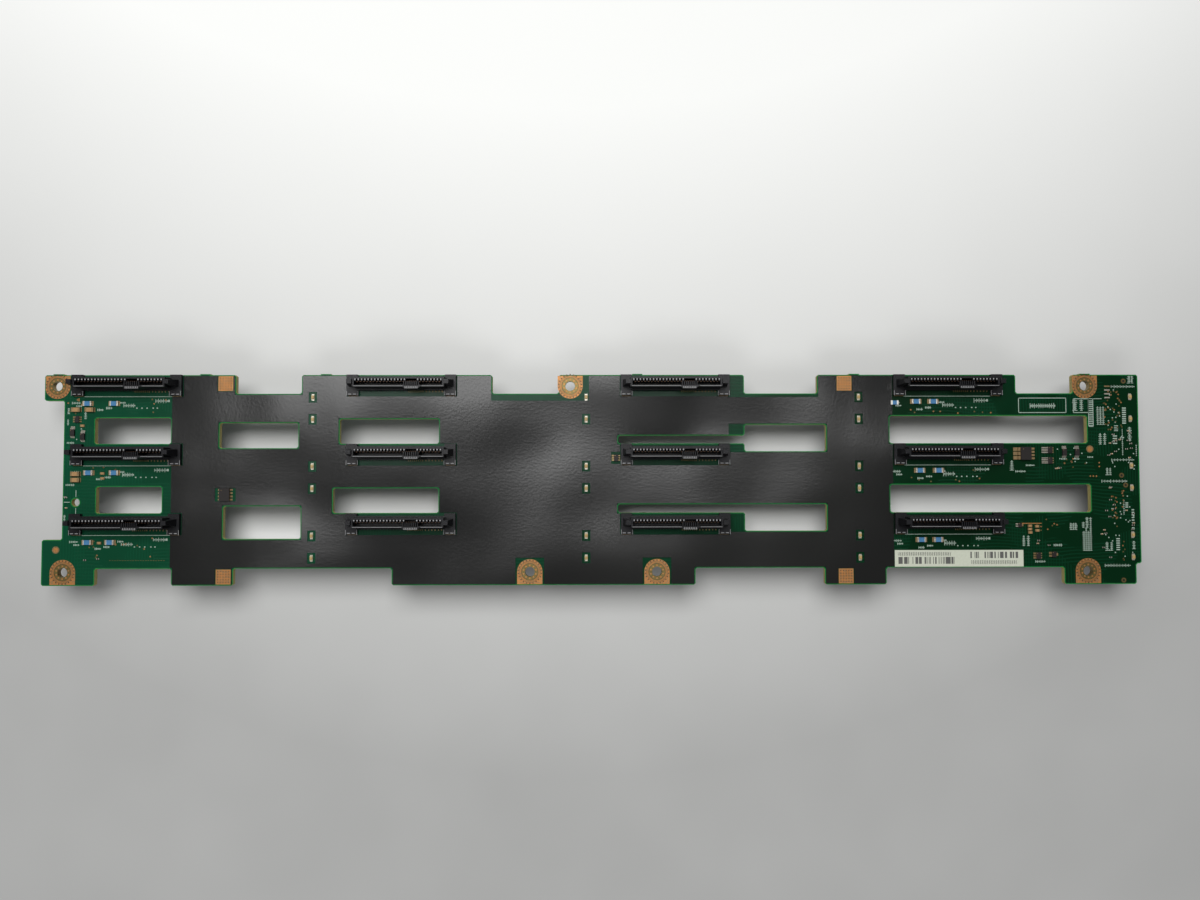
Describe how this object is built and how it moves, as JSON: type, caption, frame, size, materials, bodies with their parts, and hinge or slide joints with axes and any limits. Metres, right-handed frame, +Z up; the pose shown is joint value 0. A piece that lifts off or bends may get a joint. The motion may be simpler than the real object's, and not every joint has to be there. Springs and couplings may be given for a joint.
{
  "type": "drive backplane board",
  "caption": "Long notched circuit board with air vents and a grid of drive receptacles on its front, an insulating film, and cable ports and power headers behind.",
  "frame": {"origin": "middle of the board's length and width, on the plane of the rear port mouths that the board rests on", "axes": "+X along the board, +Y across it towards the top row of bays, +Z up from the rear ports to the drive side"},
  "size_m": [0.431, 0.083, 0.0261],
  "materials": {
    "board_green": "dark green solder mask over glass-fibre laminate",
    "film_black": "near-black semi-gloss film",
    "land_copper": "bare copper, dull",
    "label_white": "blank paper label",
    "light_white": "clear and white chip lights",
    "fuse_blue": "blue glazed chips",
    "capacitor_tan": "tan ceramic chips",
    "chip_black": "black moulding compound",
    "housing_black": "black glass-filled moulding",
    "contact_gold": "gold plated spring alloy",
    "shell_steel": "tin plated sheet",
    "core_black": "black moulding",
    "header_black": "black moulding",
    "pin_tin": "tin plated pins"
  },
  "bodies": {
    "root": {"circuit_board": "board_green", "insulator_film": "film_black", "ground_lands": "land_copper", "board_label": "label_white", "status_lights": "light_white", "chip_fuses": "fuse_blue", "chip_capacitors": "capacitor_tan", "driver_chips": "chip_black", "sensor_chips": "chip_black", "drive_connector_0": "housing_black", "drive_connector_1": "housing_black", "drive_connector_2": "housing_black", "drive_connector_3": "housing_black", "drive_connector_4": "housing_black", "drive_connector_5": "housing_black", "drive_connector_6": "housing_black", "drive_connector_7": "housing_black", "drive_connector_8": "housing_black", "drive_connector_9": "housing_black", "drive_connector_10": "housing_black", "drive_connector_11": "housing_black", "drive_contacts_0": "contact_gold", "drive_contacts_1": "contact_gold", "drive_contacts_2": "contact_gold", "drive_contacts_3": "contact_gold", "drive_contacts_4": "contact_gold", "drive_contacts_5": "contact_gold", "drive_contacts_6": "contact_gold", "drive_contacts_7": "contact_gold", "drive_contacts_8": "contact_gold", "drive_contacts_9": "contact_gold", "drive_contacts_10": "contact_gold", "drive_contacts_11": "contact_gold", "port_shell_0": "shell_steel", "port_shell_1": "shell_steel", "port_shell_2": "shell_steel", "port_core_0": "core_black", "port_core_1": "core_black", "port_core_2": "core_black", "power_header_0": "header_black", "power_header_1": "header_black", "power_pins_0": "pin_tin", "power_pins_1": "pin_tin", "management_header": "header_black", "management_pins": "pin_tin", "controller_chip": "chip_black"}
  },
  "joints": []
}
